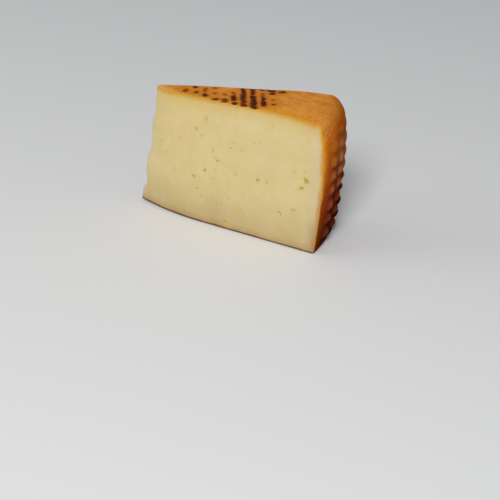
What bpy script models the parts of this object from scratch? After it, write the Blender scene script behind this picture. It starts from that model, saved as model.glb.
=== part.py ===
import math
import random

import bmesh
import bpy
from mathutils import Matrix

# A wedge cut from a round, net-bound, smoked cheese wheel. Metres, Z up.
# The shape is worked out with the wheel's axis at X = Y = 0: the thin edge of the wedge is
# close to that axis, the front cut face looks along -Y and the rounded rind side is at +X.
# The finished wedge is then moved so that its origin is at the bottom centre of its box.

# The wheel
WHEEL_RADIUS = 0.095
WHEEL_HEIGHT = 0.0618
WEDGE_ANGLE = math.radians(22.5)

# The top face: slightly dished, lower still by the axis, and falling off towards the shoulder
TOP_DISH = 0.0031
AXIS_SAG = 0.0020
AXIS_SAG_REACH = 0.0428
RIM_FALL_FRONT = 0.0039
RIM_FALL_BACK = 0.0026
RIM_FALL_START = 0.0665

# The shoulder where the side turns in to the top, a superellipse quarter that is small and
# square at the front cut, and larger and blunter at the back cut
TOP_RADIUS_FRONT = 0.0894
TOP_RADIUS_BACK = 0.0874
SHOULDER_START_FRONT = 0.0555
SHOULDER_START_BACK = 0.0510
SHOULDER_POWER_FRONT = 3.0
SHOULDER_POWER_BACK = 1.6

# The side, widest at one height and drawn in above it and below it
WIDEST_HEIGHT = 0.045
SIDE_BULGE = 0.0054
UPPER_LEAN = 0.0035
UPPER_LEAN_START = 0.35 * WHEEL_HEIGHT
BOTTOM_EDGE_ROUNDING = 0.0008

# The underside is flat, but for a shallow hollow by the axis
BASE_HOLLOW = 0.0011
BASE_HOLLOW_REACH = 0.0428

# The front cut bends back as it nears the thin edge, and that edge leans out at the bottom
CUT_BEND = 0.00475
CUT_BEND_LENGTH_BOTTOM = 0.0333
CUT_BEND_LENGTH_TOP = 0.0140
THIN_EDGE_TOP_X = 0.0089
THIN_EDGE_BOTTOM_X = 0.0007
THIN_EDGE_WIDTH = 0.0018
THIN_EDGE_ROUNDING = 0.3 * THIN_EDGE_WIDTH

# The thin edge has broken away in steps: height of each step and how deep it is worn there,
# and how far from the edge the wear still shows
THIN_EDGE_WEAR_REACH = 0.006
THIN_EDGE_STEPS = (
    (0.000, -0.0003),
    (0.006, -0.0004),
    (0.0085, 0.0011),
    (0.0125, 0.0010),
    (0.0150, 0.0000),
    (0.0235, 0.0000),
    (0.0262, 0.0010),
    (0.0300, 0.0011),
    (0.0415, 0.0002),
    (0.0455, 0.0009),
    (0.0618, 0.0000),
)

# The net that bound the wheel left rows and columns of bumps on its side. The first groove up the
# side is this far from the front cut, and the first groove round the wheel is at this height.
# The grooves round the wheel are further apart at the front cut than at the back cut.
NET_MESH_WIDTH = 0.0120
NET_MESH_HEIGHT_FRONT = 0.0072
NET_MESH_HEIGHT_BACK = 0.00625
NET_FIRST_COLUMN = 0.0070
NET_FIRST_ROW = 0.0015
NET_SWELL = 0.0006
NET_DEPTH_LOW = 0.0020
NET_DEPTH_HIGH = 0.0010
NET_START_HEIGHT = 0.0016
NET_FADE_HEIGHT = 0.047
NET_END_HEIGHT = 0.056
NET_BUMP_POWER = 1.2

# The bumps are faint by the front cut, and fainter again high up by the back cut
NET_FRONT_SHARE = 0.05
NET_FRONT_REACH = 0.018
NET_FAR_SHARE = 0.45
NET_FAR_ARCS = (0.022, 0.034)
NET_FAR_HEIGHTS = (0.018, 0.034)

# The larger eyes on the front cut: distance from the axis, height, width, height of the eye
SHOWN_EYES = (
    (0.0873, 0.0334, 0.0030, 0.0030),
    (0.0847, 0.0293, 0.0026, 0.0020),
    (0.0637, 0.0277, 0.0022, 0.0018),
    (0.0680, 0.0274, 0.0014, 0.0024),
    (0.0374, 0.0500, 0.0014, 0.0026),
    (0.0325, 0.0445, 0.0014, 0.0018),
    (0.0370, 0.0257, 0.0018, 0.0020),
    (0.0314, 0.0214, 0.0020, 0.0018),
    (0.0434, 0.0320, 0.0020, 0.0014),
    (0.0498, 0.0395, 0.0022, 0.0014),
    (0.0553, 0.0397, 0.0022, 0.0014),
    (0.0751, 0.0153, 0.0024, 0.0016),
    (0.0817, 0.0184, 0.0024, 0.0011),
    (0.0490, 0.0040, 0.0022, 0.0014),
)

# The eyes on the back cut, in two rows at places drawn by lot
HIDDEN_EYE_COLUMNS = 5
HIDDEN_EYE_ROWS = 2
HIDDEN_EYE_DISTANCES = (0.030, 0.088)
HIDDEN_EYE_HEIGHTS = (0.010, 0.050)
HIDDEN_EYE_SIZES = (0.0014, 0.0026)
HIDDEN_EYE_SEED = 7
EYE_DEPTH_SHARE = 0.55

# How finely the surface is divided
FRONT_STEPS = 26
BACK_STEPS = 20
RIM_STEPS = 30
NOSE_STEPS = 2
SIDE_LEVELS = 41
SHOULDER_LEVELS = 6
CAP_SHARES = (0.94, 0.82, 0.64, 0.42, 0.18)

SHARP_EDGE_ANGLE = math.radians(58.0)

# A face belongs to a cut where its normal has less than this towards +X and up or down
CUT_NORMAL_LIMIT = 0.3
PASTE_COLOUR = (0.66, 0.51, 0.23, 1.0)
RIND_COLOUR = (0.42, 0.15, 0.03, 1.0)


def clear_scene():
    for item in list(bpy.data.objects):
        bpy.data.objects.remove(item, do_unlink=True)


def make_material(name, colour, roughness):
    material = bpy.data.materials.new(name)
    material.use_nodes = True
    shader = material.node_tree.nodes["Principled BSDF"]
    shader.inputs["Base Color"].default_value = colour
    shader.inputs["Roughness"].default_value = roughness
    shader.inputs["Metallic"].default_value = 0.0
    return material


def mix(start, end, share):
    return start + (end - start) * share


def clamp(value):
    return min(max(value, 0.0), 1.0)


def smooth(value):
    value = clamp(value)
    return value * value * (3.0 - 2.0 * value)


def fade(value, start, end):
    return smooth((value - start) / (end - start))


def side_radius(height):
    bulge = SIDE_BULGE * ((height - WIDEST_HEIGHT) / WHEEL_HEIGHT) ** 2
    lean = UPPER_LEAN * max(height - UPPER_LEAN_START, 0.0) ** 3 / (WHEEL_HEIGHT - UPPER_LEAN_START) ** 3
    edge = BOTTOM_EDGE_ROUNDING * (1.0 - clamp(height / BOTTOM_EDGE_ROUNDING)) ** 2
    return WHEEL_RADIUS - bulge - lean - edge


def shoulder_start(turn):
    return mix(SHOULDER_START_FRONT, SHOULDER_START_BACK, smooth(turn))


def top_radius(turn):
    return mix(TOP_RADIUS_FRONT, TOP_RADIUS_BACK, smooth(turn))


def top_height(x, y):
    turn = clamp(math.atan2(y, x) / WEDGE_ANGLE)
    radius = min(math.hypot(x, y), top_radius(turn))
    dish = TOP_DISH * (1.0 - (radius / WHEEL_RADIUS) ** 2)
    sag = AXIS_SAG * max(1.0 - radius / AXIS_SAG_REACH, 0.0) ** 2
    outward = max(radius - RIM_FALL_START, 0.0) / (WHEEL_RADIUS - RIM_FALL_START)
    fall = mix(RIM_FALL_FRONT, RIM_FALL_BACK, smooth(turn)) * outward ** 2
    return WHEEL_HEIGHT - dish - sag - fall


def shoulder_end(turn):
    # The height at which the shoulder meets the top face
    angle = turn * WEDGE_ANGLE
    return top_height(WHEEL_RADIUS * math.cos(angle), WHEEL_RADIUS * math.sin(angle))


def base_height(x, y):
    return BASE_HOLLOW * max(1.0 - math.hypot(x, y) / BASE_HOLLOW_REACH, 0.0) ** 2


def thin_edge_wear(height):
    for (low, low_wear), (high, high_wear) in zip(THIN_EDGE_STEPS, THIN_EDGE_STEPS[1:]):
        if height <= high:
            return mix(low_wear, high_wear, smooth((height - low) / (high - low)))
    return THIN_EDGE_STEPS[-1][1]


def thin_edge_x(height):
    return mix(THIN_EDGE_BOTTOM_X, THIN_EDGE_TOP_X, clamp(height / WHEEL_HEIGHT))


def cut_bend(x, height):
    length = mix(CUT_BEND_LENGTH_BOTTOM, CUT_BEND_LENGTH_TOP, clamp(height / WHEEL_HEIGHT))
    return CUT_BEND * max(1.0 - (x - thin_edge_x(height)) / length, 0.0) ** 2


def net_strength(arc, height):
    strength = smooth(height / NET_START_HEIGHT)
    strength *= 1.0 - fade(height, NET_FADE_HEIGHT, NET_END_HEIGHT)
    strength *= mix(NET_FRONT_SHARE, 1.0, smooth(arc / NET_FRONT_REACH))
    far = fade(arc, *NET_FAR_ARCS) * fade(height, *NET_FAR_HEIGHTS)
    return strength * mix(1.0, NET_FAR_SHARE, far)


def net_groove(arc, height):
    # How far the net pressed the side in. Grooves run round the wheel and up its side, and the
    # cheese swells out between them.
    mesh_height = mix(NET_MESH_HEIGHT_FRONT, NET_MESH_HEIGHT_BACK, smooth(arc / (WEDGE_ANGLE * WHEEL_RADIUS)))
    across = (arc - NET_FIRST_COLUMN) / NET_MESH_WIDTH
    along = (height - NET_FIRST_ROW) / mesh_height
    bump = abs(math.sin(math.pi * across) * math.sin(math.pi * along))
    depth = mix(NET_DEPTH_LOW, NET_DEPTH_HIGH, smooth(height / NET_FADE_HEIGHT))
    return net_strength(arc, height) * (depth * (1.0 - bump ** NET_BUMP_POWER) - NET_SWELL)


def rim_levels():
    # One value a ring: 0 at the bottom edge, 1 where the shoulder starts, 2 where it ends
    rounding = BOTTOM_EDGE_ROUNDING / SHOULDER_START_FRONT
    side = [mix(rounding, 1.0, step / SIDE_LEVELS) for step in range(SIDE_LEVELS + 1)]
    shoulder = [1.0 + (step + 1) / SHOULDER_LEVELS for step in range(SHOULDER_LEVELS)]
    return [0.0] + side + shoulder


def rim_point(level, turn):
    # Radius and height of the rind at one level, at a share of the way from front cut to back cut
    if level <= 1.0:
        height = level * shoulder_start(turn)
        radius = side_radius(height)
    else:
        angle = math.pi / 2.0 * min(level - 1.0, 1.0)
        power = 2.0 / mix(SHOULDER_POWER_FRONT, SHOULDER_POWER_BACK, smooth(turn))
        height = mix(shoulder_start(turn), shoulder_end(turn), math.sin(angle) ** power)
        widest = side_radius(shoulder_start(turn))
        radius = mix(top_radius(turn), widest, max(math.cos(angle), 0.0) ** power)
    return radius - net_groove(turn * WEDGE_ANGLE * WHEEL_RADIUS, height), height


def thin_edge_points(height):
    # Where the front cut ends, the blunt thin edge itself, and where the back cut ends
    start_x = thin_edge_x(height) + THIN_EDGE_ROUNDING
    front = (start_x, CUT_BEND)
    back = (start_x, CUT_BEND + THIN_EDGE_WIDTH)
    nose = []
    for step in range(1, NOSE_STEPS + 1):
        share = step / (NOSE_STEPS + 1)
        outward = THIN_EDGE_ROUNDING * math.sin(math.pi * share)
        nose.append((start_x - outward, mix(back[1], front[1], share)))
    return front, nose, back


def worn(point, height):
    # Moves a point of the plan outline inward where the thin edge has broken away
    share = 1.0 - smooth((point[0] - thin_edge_x(height)) / THIN_EDGE_WEAR_REACH)
    return point[0] + share * thin_edge_wear(height), point[1]


def ring_outline(level):
    # Plan outline of the wedge on one ring, counter-clockwise from the thin edge: x, y and the
    # share of the full height
    front_radius, front_height = rim_point(level, 0.0)
    back_radius, back_height = rim_point(level, 1.0)
    front_edge, nose, back_edge = thin_edge_points(front_height)
    points = []
    for step in range(FRONT_STEPS):
        x = mix(front_edge[0], front_radius, step / FRONT_STEPS)
        flat = (x, cut_bend(x, front_height))
        points.append((*worn(flat, front_height), front_height / shoulder_end(0.0)))
    for step in range(RIM_STEPS + 1):
        turn = step / RIM_STEPS
        radius, height = rim_point(level, turn)
        angle = turn * WEDGE_ANGLE
        points.append((radius * math.cos(angle), radius * math.sin(angle), height / shoulder_end(turn)))
    # The last rim point slides along the back cut, so that its groove or bump leaves the cut flat
    clean = back_radius + net_groove(WEDGE_ANGLE * WHEEL_RADIUS, back_height)
    kept = 1.0 - (clean - back_radius) / (clean - back_edge[0])
    back_rim = (
        mix(back_edge[0], clean * math.cos(WEDGE_ANGLE), kept),
        mix(back_edge[1], clean * math.sin(WEDGE_ANGLE), kept),
    )
    back_share = back_height / shoulder_end(1.0)
    points[-1] = (*back_rim, back_share)
    for step in range(1, BACK_STEPS + 1):
        share = step / BACK_STEPS
        flat = (mix(back_rim[0], back_edge[0], share), mix(back_rim[1], back_edge[1], share))
        points.append((*worn(flat, back_height), back_share))
    for step, flat in enumerate(nose):
        share = mix(back_share, front_height / shoulder_end(0.0), (step + 1) / (NOSE_STEPS + 1))
        points.append((*worn(flat, share * shoulder_end(0.0)), share))
    return points


def place_ring(outline):
    ring = []
    for x, y, share in outline:
        ring.append((x, y, mix(base_height(x, y), top_height(x, y), share)))
    return ring


def bridge(shape, lower, upper):
    count = len(lower)
    for index in range(count):
        after = (index + 1) % count
        shape.faces.new((lower[index], lower[after], upper[after], upper[index]))


def close_cap(shape, edge, places, surface_height):
    # Shrinks the ring towards its middle, step by step, on the surface that surface_height gives
    centre_x = sum(place[0] for place in places) / len(places)
    centre_y = sum(place[1] for place in places) / len(places)
    ring = edge
    for share in CAP_SHARES:
        inner = []
        for x, y, height in places:
            inner_x = mix(centre_x, x, share)
            inner_y = mix(centre_y, y, share)
            inner.append(shape.verts.new((inner_x, inner_y, surface_height(inner_x, inner_y))))
        bridge(shape, ring, inner)
        ring = inner
    middle = shape.verts.new((centre_x, centre_y, surface_height(centre_x, centre_y)))
    for index in range(len(ring)):
        shape.faces.new((ring[index], ring[(index + 1) % len(ring)], middle))


def make_wedge(materials):
    shape = bmesh.new()
    outlines = [place_ring(ring_outline(level)) for level in rim_levels()]
    rings = [[shape.verts.new(place) for place in outline] for outline in outlines]
    for lower, upper in zip(rings, rings[1:]):
        bridge(shape, lower, upper)
    close_cap(shape, rings[-1], outlines[-1], top_height)
    close_cap(shape, rings[0], outlines[0], base_height)
    bmesh.ops.recalc_face_normals(shape, faces=shape.faces)
    for face in shape.faces:
        on_cut = face.normal.x < CUT_NORMAL_LIMIT and abs(face.normal.z) < CUT_NORMAL_LIMIT
        face.material_index = 0 if on_cut else 1
        face.smooth = True
    mesh = bpy.data.meshes.new("cheese_wedge")
    shape.to_mesh(mesh)
    shape.free()
    for material in materials:
        mesh.materials.append(material)
    mesh.set_sharp_from_angle(angle=SHARP_EDGE_ANGLE)
    wedge = bpy.data.objects.new("cheese_wedge", mesh)
    bpy.context.scene.collection.objects.link(wedge)
    return wedge


def hidden_eyes():
    # Distance along the back cut, height, width and height of each eye
    draw = random.Random(HIDDEN_EYE_SEED)
    eyes = []
    for row in range(HIDDEN_EYE_ROWS):
        for column in range(HIDDEN_EYE_COLUMNS):
            along = (column + draw.random()) / HIDDEN_EYE_COLUMNS
            upward = (row + draw.random()) / HIDDEN_EYE_ROWS
            width = draw.uniform(*HIDDEN_EYE_SIZES)
            tall = draw.uniform(*HIDDEN_EYE_SIZES)
            eyes.append((mix(*HIDDEN_EYE_DISTANCES, along), mix(*HIDDEN_EYE_HEIGHTS, upward), width, tall))
    return eyes


def back_cut_point(distance, height):
    # The point of the back cut at this distance along it, and the cut's direction in plan
    edge_x, edge_y = thin_edge_points(height)[2]
    rim = rim_point(height / SHOULDER_START_BACK, 1.0)[0]
    rim_x = rim * math.cos(WEDGE_ANGLE)
    rim_y = rim * math.sin(WEDGE_ANGLE)
    slope = math.atan2(rim_y - edge_y, rim_x - edge_x)
    x = distance * math.cos(slope)
    y = edge_y + (x - edge_x) * math.tan(slope)
    return x, y, slope


def add_eye(shape, place, slope, width, height):
    sphere = bmesh.ops.create_icosphere(shape, subdivisions=2, radius=0.5)["verts"]
    depth = 2.0 * EYE_DEPTH_SHARE * min(width, height)
    turned = Matrix.Rotation(slope, 4, "Z") @ Matrix.Diagonal((width, depth, height, 1.0))
    bmesh.ops.transform(shape, matrix=Matrix.Translation(place) @ turned, verts=sphere)


def make_eye_cutter():
    shape = bmesh.new()
    for distance, height, width, tall in SHOWN_EYES:
        front = cut_bend(distance, height)
        add_eye(shape, (distance, front, height), 0.0, width, tall)
    for distance, height, width, tall in hidden_eyes():
        x, y, slope = back_cut_point(distance, height)
        add_eye(shape, (x, y, height), slope, width, tall)
    mesh = bpy.data.meshes.new("eye_cutter")
    shape.to_mesh(mesh)
    shape.free()
    cutter = bpy.data.objects.new("eye_cutter", mesh)
    cutter.hide_render = True
    cutter.display_type = "WIRE"
    bpy.context.scene.collection.objects.link(cutter)
    return cutter


def cut_eyes(wedge, cutter):
    boolean = wedge.modifiers.new("eyes", "BOOLEAN")
    boolean.operation = "DIFFERENCE"
    boolean.solver = "EXACT"
    boolean.object = cutter


def centre_on_base(wedge, cutter):
    xs = [vertex.co.x for vertex in wedge.data.vertices]
    ys = [vertex.co.y for vertex in wedge.data.vertices]
    shift_x = -(min(xs) + max(xs)) / 2.0
    shift_y = -(min(ys) + max(ys)) / 2.0
    for item in (wedge, cutter):
        for vertex in item.data.vertices:
            vertex.co.x += shift_x
            vertex.co.y += shift_y


def main():
    clear_scene()
    paste = make_material("paste", PASTE_COLOUR, 0.45)
    rind = make_material("smoked_rind", RIND_COLOUR, 0.4)
    wedge = make_wedge((paste, rind))
    cutter = make_eye_cutter()
    centre_on_base(wedge, cutter)
    cut_eyes(wedge, cutter)


main()
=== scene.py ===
import math
import random

import bpy
from mathutils import Matrix, Vector


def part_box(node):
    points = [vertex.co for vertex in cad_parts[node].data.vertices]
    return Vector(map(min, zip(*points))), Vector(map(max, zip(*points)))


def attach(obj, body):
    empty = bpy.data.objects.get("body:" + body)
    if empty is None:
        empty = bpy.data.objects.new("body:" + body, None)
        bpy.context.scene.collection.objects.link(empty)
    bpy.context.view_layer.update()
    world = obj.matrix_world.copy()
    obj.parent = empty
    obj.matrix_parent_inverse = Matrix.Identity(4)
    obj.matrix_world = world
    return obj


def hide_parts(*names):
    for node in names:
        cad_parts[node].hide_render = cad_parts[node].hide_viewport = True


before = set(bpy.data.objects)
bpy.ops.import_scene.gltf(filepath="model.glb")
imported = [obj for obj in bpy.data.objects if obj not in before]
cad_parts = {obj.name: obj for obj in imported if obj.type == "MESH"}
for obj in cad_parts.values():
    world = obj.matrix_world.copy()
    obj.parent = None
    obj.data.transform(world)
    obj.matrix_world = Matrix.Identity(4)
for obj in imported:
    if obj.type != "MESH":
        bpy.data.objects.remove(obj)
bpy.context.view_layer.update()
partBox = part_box("cheese_wedge")


def millimetres(box):
    return [round(1000 * side, 2) for side in box[1] - box[0]]


def addObject(name, data):
    made = bpy.data.objects.new(name, data)
    bpy.context.scene.collection.objects.link(made)
    return made


print("frame loaded, the wedge measures", millimetres(partBox), "mm")


# A tree of shader or geometry nodes, and the arithmetic on its sockets

class Sock:
    # One output socket. Arithmetic on it adds Math nodes to the same tree.
    def __init__(self, tree, socket):
        self.tree = tree
        self.socket = socket

    def math(self, operation, *terms):
        return self.tree.node("ShaderNodeMath", {"operation": operation}, terms)

    def out(self, name):  # another output of the same node
        return Sock(self.tree, self.socket.node.outputs[name])

    def __add__(self, other):
        return self.math("ADD", self, other)

    def __radd__(self, other):
        return self.math("ADD", other, self)

    def __sub__(self, other):
        return self.math("SUBTRACT", self, other)

    def __rsub__(self, other):
        return self.math("SUBTRACT", other, self)

    def __mul__(self, other):
        return self.math("MULTIPLY", self, other)

    def __rmul__(self, other):
        return self.math("MULTIPLY", other, self)

    def __truediv__(self, other):
        return self.math("DIVIDE", self, other)

    def __rtruediv__(self, other):
        return self.math("DIVIDE", other, self)

    def __pow__(self, other):
        return self.math("POWER", self, other)

    def __neg__(self):
        return self.math("MULTIPLY", self, -1.0)

    def __abs__(self):
        return self.math("ABSOLUTE", self)

    def __gt__(self, other):
        return self.math("GREATER_THAN", self, other)

    def __lt__(self, other):
        return self.math("LESS_THAN", self, other)


class Tree:
    def __init__(self, nodeTree):
        self.nodeTree = nodeTree
        self.nodes = nodeTree.nodes
        self.links = nodeTree.links

    def node(self, kind, settings=None, values=(), out=0):
        # Settings first, because they decide which sockets there are, then values or links
        made = self.nodes.new(kind)
        for key, value in (settings or {}).items():
            if key == "stops":
                self.fillRamp(made.color_ramp, value)
            elif key == "points":
                self.fillCurve(made.mapping, value)
            else:
                setattr(made, key, value)
        self.fill(made, values)
        return Sock(self, made.outputs[out])

    def fill(self, made, values):
        # Values or links for a node's sockets, by name or in their order
        pairs = values.items() if isinstance(values, dict) else enumerate(values)
        for key, value in pairs:
            if isinstance(value, Sock):
                self.links.new(value.socket, made.inputs[key])
            else:
                made.inputs[key].default_value = value

    def fillRamp(self, ramp, stops):
        while len(ramp.elements) < len(stops):
            ramp.elements.new(1.0)
        for element, (position, colour) in zip(ramp.elements, stops):
            element.position = position
            element.color = colour

    def fillCurve(self, mapping, points):
        curve = mapping.curves[0]
        while len(curve.points) < len(points):
            curve.points.new(1.0, 1.0)
        for point, place in zip(curve.points, points):
            point.location = place
            point.handle_type = "AUTO_CLAMPED"
        mapping.update()

    def sizeInputs(self, sizes):
        # One named group input for each size; whole numbers become integer sockets
        for name, value in sizes.items():
            kind = "NodeSocketInt" if isinstance(value, int) else "NodeSocketFloat"
            self.nodeTree.interface.new_socket(name, in_out="INPUT", socket_type=kind)
        groupInput = self.nodes.new("NodeGroupInput")
        return {name: Sock(self, groupInput.outputs[name]) for name in sizes}

    def noise(self, vector, scale, detail=2.0, roughness=0.5, out="Fac"):
        sockets = {"Vector": vector, "Scale": scale, "Detail": detail, "Roughness": roughness}
        return self.node("ShaderNodeTexNoise", {}, sockets, out)

    def vector(self, x, y, z):
        return self.node("ShaderNodeCombineXYZ", {}, (x, y, z))

    def vectorMath(self, operation, *terms):
        return self.node("ShaderNodeVectorMath", {"operation": operation}, terms)

    def scaled(self, vector, share):
        return self.node("ShaderNodeVectorMath", {"operation": "SCALE"}, {"Vector": vector, "Scale": share})

    def mixColour(self, share, first, second, blend="MIX"):
        settings = {"data_type": "RGBA", "blend_type": blend}
        return self.node("ShaderNodeMix", settings, {0: share, 6: first, 7: second}, 2)

    def tinted(self, colour, tint):
        return self.mixColour(1.0, colour, tint, "MULTIPLY")

    def layered(self, colour, *layers):
        # Lays more colours over the first one, each with its share
        for share, over in layers:
            colour = self.mixColour(share, colour, over)
        return colour


def mathOf(operation, plain, *values):
    # The same function on plain numbers and on sockets
    for value in values:
        if isinstance(value, Sock):
            return value.math(operation, *values)
    return plain(*values)


def atLeast(value, limit):
    return mathOf("MAXIMUM", max, value, limit)


def atMost(value, limit):
    return mathOf("MINIMUM", min, value, limit)


def within(value):
    return atMost(atLeast(value, 0.0), 1.0)


def sine(value):
    return mathOf("SINE", math.sin, value)


def cosine(value):
    return mathOf("COSINE", math.cos, value)


def floorOf(value):
    return mathOf("FLOOR", math.floor, value)


def squared(value):
    return value * value


def distanceOf(x, y):
    return mathOf("SQRT", math.sqrt, x * x + y * y)


def between(start, end, share):
    return start + (end - start) * share


def smooth(value):
    value = within(value)
    return value * value * (3.0 - 2.0 * value)


def fade(value, start, end):
    # 0 at start, 1 at end, eased in and out; start may be the larger one
    return smooth((value - start) / (end - start))


# The wedge: a sixteenth of a net-bound smoked wheel, in metres, with the wheel's axis at x = y = 0,
# the front cut along x and the rind at the far end of x

wedge = {
    "wheel radius": 0.095,
    "wheel height": 0.0618,
    "wedge angle": math.radians(22.5),
    "axis to middle x": 0.04761448,  # from the wheel's axis to the middle of the wedge's box
    "axis to middle y": 0.01816730,
    "top dish": 0.0031,
    "axis sag": 0.0020,
    "axis sag reach": 0.0428,
    "rim fall front": 0.0039,
    "rim fall back": 0.0026,
    "rim fall start": 0.0665,
    "top radius front": 0.0894,
    "top radius back": 0.0874,
    "shoulder start front": 0.0555,
    "shoulder start back": 0.0510,
    "shoulder power front": 3.0,
    "shoulder power back": 1.6,
    "widest height": 0.045,
    "side bulge": 0.0054,
    "upper lean": 0.0035,
    "upper lean start": 0.02163,
    "bottom edge rounding": 0.0008,
    "base hollow": 0.0011,
    "base hollow reach": 0.0428,
    "cut bend": 0.00475,
    "cut bend length bottom": 0.0333,
    "cut bend length top": 0.0140,
    "thin edge top x": 0.0089,
    "thin edge bottom x": 0.0007,
    "thin edge width": 0.0018,
    "thin edge rounding": 0.00054,
    "thin edge wear reach": 0.006,
    "thin edge least wear": -0.0004,
    "thin edge most wear": 0.0011,
    "cap centre x": 0.058,
    "cap centre y": 0.0115,
    "front steps": 156,
    "rim steps": 92,
    "back steps": 112,
    "nose steps": 6,
    "base rows": 12,
    "side rows": 116,
    "shoulder rows": 26,
    "top rows": 56,
    "edge softening steps": 3,
}

# Where the thin edge broke away: share of the height, share of the way from least to most wear
thinEdgeWear = (
    (0.0, 0.07), (0.097, 0.0), (0.138, 1.0), (0.202, 0.93), (0.243, 0.27), (0.38, 0.27),
    (0.424, 0.93), (0.485, 1.0), (0.672, 0.4), (0.736, 0.87), (1.0, 0.27),
)

# The rows and columns of bumps that the binding net left on the side
net = {
    "net mesh width": 0.0120,
    "net mesh height front": 0.00720,
    "net mesh height back": 0.00625,
    "net first column": 0.0070,  # of the grooves, from the front cut
    "net first row": 0.0015,
    "net swell": 0.0007,
    "net depth low": 0.0024,
    "net depth high": 0.0012,
    "net start height": 0.0016,
    "net fade height": 0.047,
    "net end height": 0.056,
    "net front lowering": 0.007,  # by the front cut the net fades lower down
    "net lowered arc start": 0.024,
    "net lowered arc end": 0.014,
    "net bump power": 1.4,
    "net front share": 0.05,
    "net front reach": 0.018,
    "net far share": 0.45,  # high up and close to the back cut
    "net far arc start": 0.022,
    "net far arc end": 0.034,
    "net far height start": 0.018,
    "net far height end": 0.034,
    "net wander": 0.0034,
    "net wander scale": 75.0,
    "net uneven scale": 120.0,
}

# Heights and noise scales of the fine unevenness
relief = {
    "blister depth": 0.0008,
    "blister scale": 560.0,
    "thin edge roughness": 0.0006,
    "thin edge scale": 380.0,
    "cut waviness": 0.00022,
    "rind waviness": 0.0005,
    "wave scale": 55.0,
    "side lumps": 0.0012,
    "side lump scale": 260.0,
    "eye roughness": 0.0003,
    "eye roughness scale": 800.0,
    "eye halo start": 0.0005,
    "eye halo end": 0.0022,
    "scorch reach": 0.006,
    "scorch depth": 0.00015,
}


def sideRadius(size, height):
    bulge = size["side bulge"] * squared((height - size["widest height"]) / size["wheel height"])
    leanSpan = size["wheel height"] - size["upper lean start"]
    leaning = atLeast(height - size["upper lean start"], 0.0) / leanSpan
    lean = size["upper lean"] * leaning * leaning * leaning
    edge = size["bottom edge rounding"] * squared(1.0 - within(height / size["bottom edge rounding"]))
    return size["wheel radius"] - bulge - lean - edge


def frontToBack(size, name, turn):
    return between(size[name + " front"], size[name + " back"], smooth(turn))


def topHeight(size, x, y):
    turn = within(mathOf("ARCTAN2", math.atan2, y, x) / size["wedge angle"])
    radius = atMost(distanceOf(x, y), frontToBack(size, "top radius", turn))
    dish = size["top dish"] * (1.0 - squared(radius / size["wheel radius"]))
    sag = size["axis sag"] * squared(atLeast(1.0 - radius / size["axis sag reach"], 0.0))
    outward = atLeast(radius - size["rim fall start"], 0.0) / (size["wheel radius"] - size["rim fall start"])
    fall = frontToBack(size, "rim fall", turn) * squared(outward)
    return size["wheel height"] - dish - sag - fall


def shoulderTop(size, turn):
    # The height at which the shoulder meets the top
    angle = turn * size["wedge angle"]
    return topHeight(size, size["wheel radius"] * cosine(angle), size["wheel radius"] * sine(angle))


def baseHeight(size, x, y):
    return size["base hollow"] * squared(atLeast(1.0 - distanceOf(x, y) / size["base hollow reach"], 0.0))


def thinEdgeX(size, height):
    return between(size["thin edge bottom x"], size["thin edge top x"], within(height / size["wheel height"]))


def cutBend(size, x, height):
    share = within(height / size["wheel height"])
    length = between(size["cut bend length bottom"], size["cut bend length top"], share)
    return size["cut bend"] * squared(atLeast(1.0 - (x - thinEdgeX(size, height)) / length, 0.0))


def netPattern(tree, size, arc, height):
    # 0 on top of a bump, 1 in a groove; the net's threads wander and its bumps differ in height
    place = tree.vector(arc, 0.0, height)
    wander = tree.noise(place, size["net wander scale"], 1.0, 0.5, "Color")
    shifts = tree.node("ShaderNodeSeparateXYZ", {}, (wander,))
    across = (arc - size["net first column"] + (shifts - 0.5) * size["net wander"]) / size["net mesh width"]
    meshHeight = frontToBack(size, "net mesh height", arc / (size["wheel radius"] * size["wedge angle"]))
    along = (height - size["net first row"] + (shifts.out("Y") - 0.5) * size["net wander"]) / meshHeight
    bump = abs(sine(math.pi * across) * sine(math.pi * along))
    bump = bump ** size["net bump power"]
    uneven = tree.noise(place, size["net uneven scale"], 1.0, 0.5)
    return 1.0 - within(bump * between(0.55, 1.45, uneven))


def netStrength(size, arc, height):
    # The net pressed hardest into the lower side, and not at all on the shoulder
    low = smooth(height / size["net start height"])
    lower = size["net front lowering"] * fade(arc, size["net lowered arc start"], size["net lowered arc end"])
    high = 1.0 - fade(height, size["net fade height"] - lower, size["net end height"] - lower * 0.5)
    near = between(size["net front share"], 1.0, smooth(arc / size["net front reach"]))
    far = fade(arc, size["net far arc start"], size["net far arc end"])
    far = far * fade(height, size["net far height start"], size["net far height end"])
    return low * high * near * between(1.0, size["net far share"], far)


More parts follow.
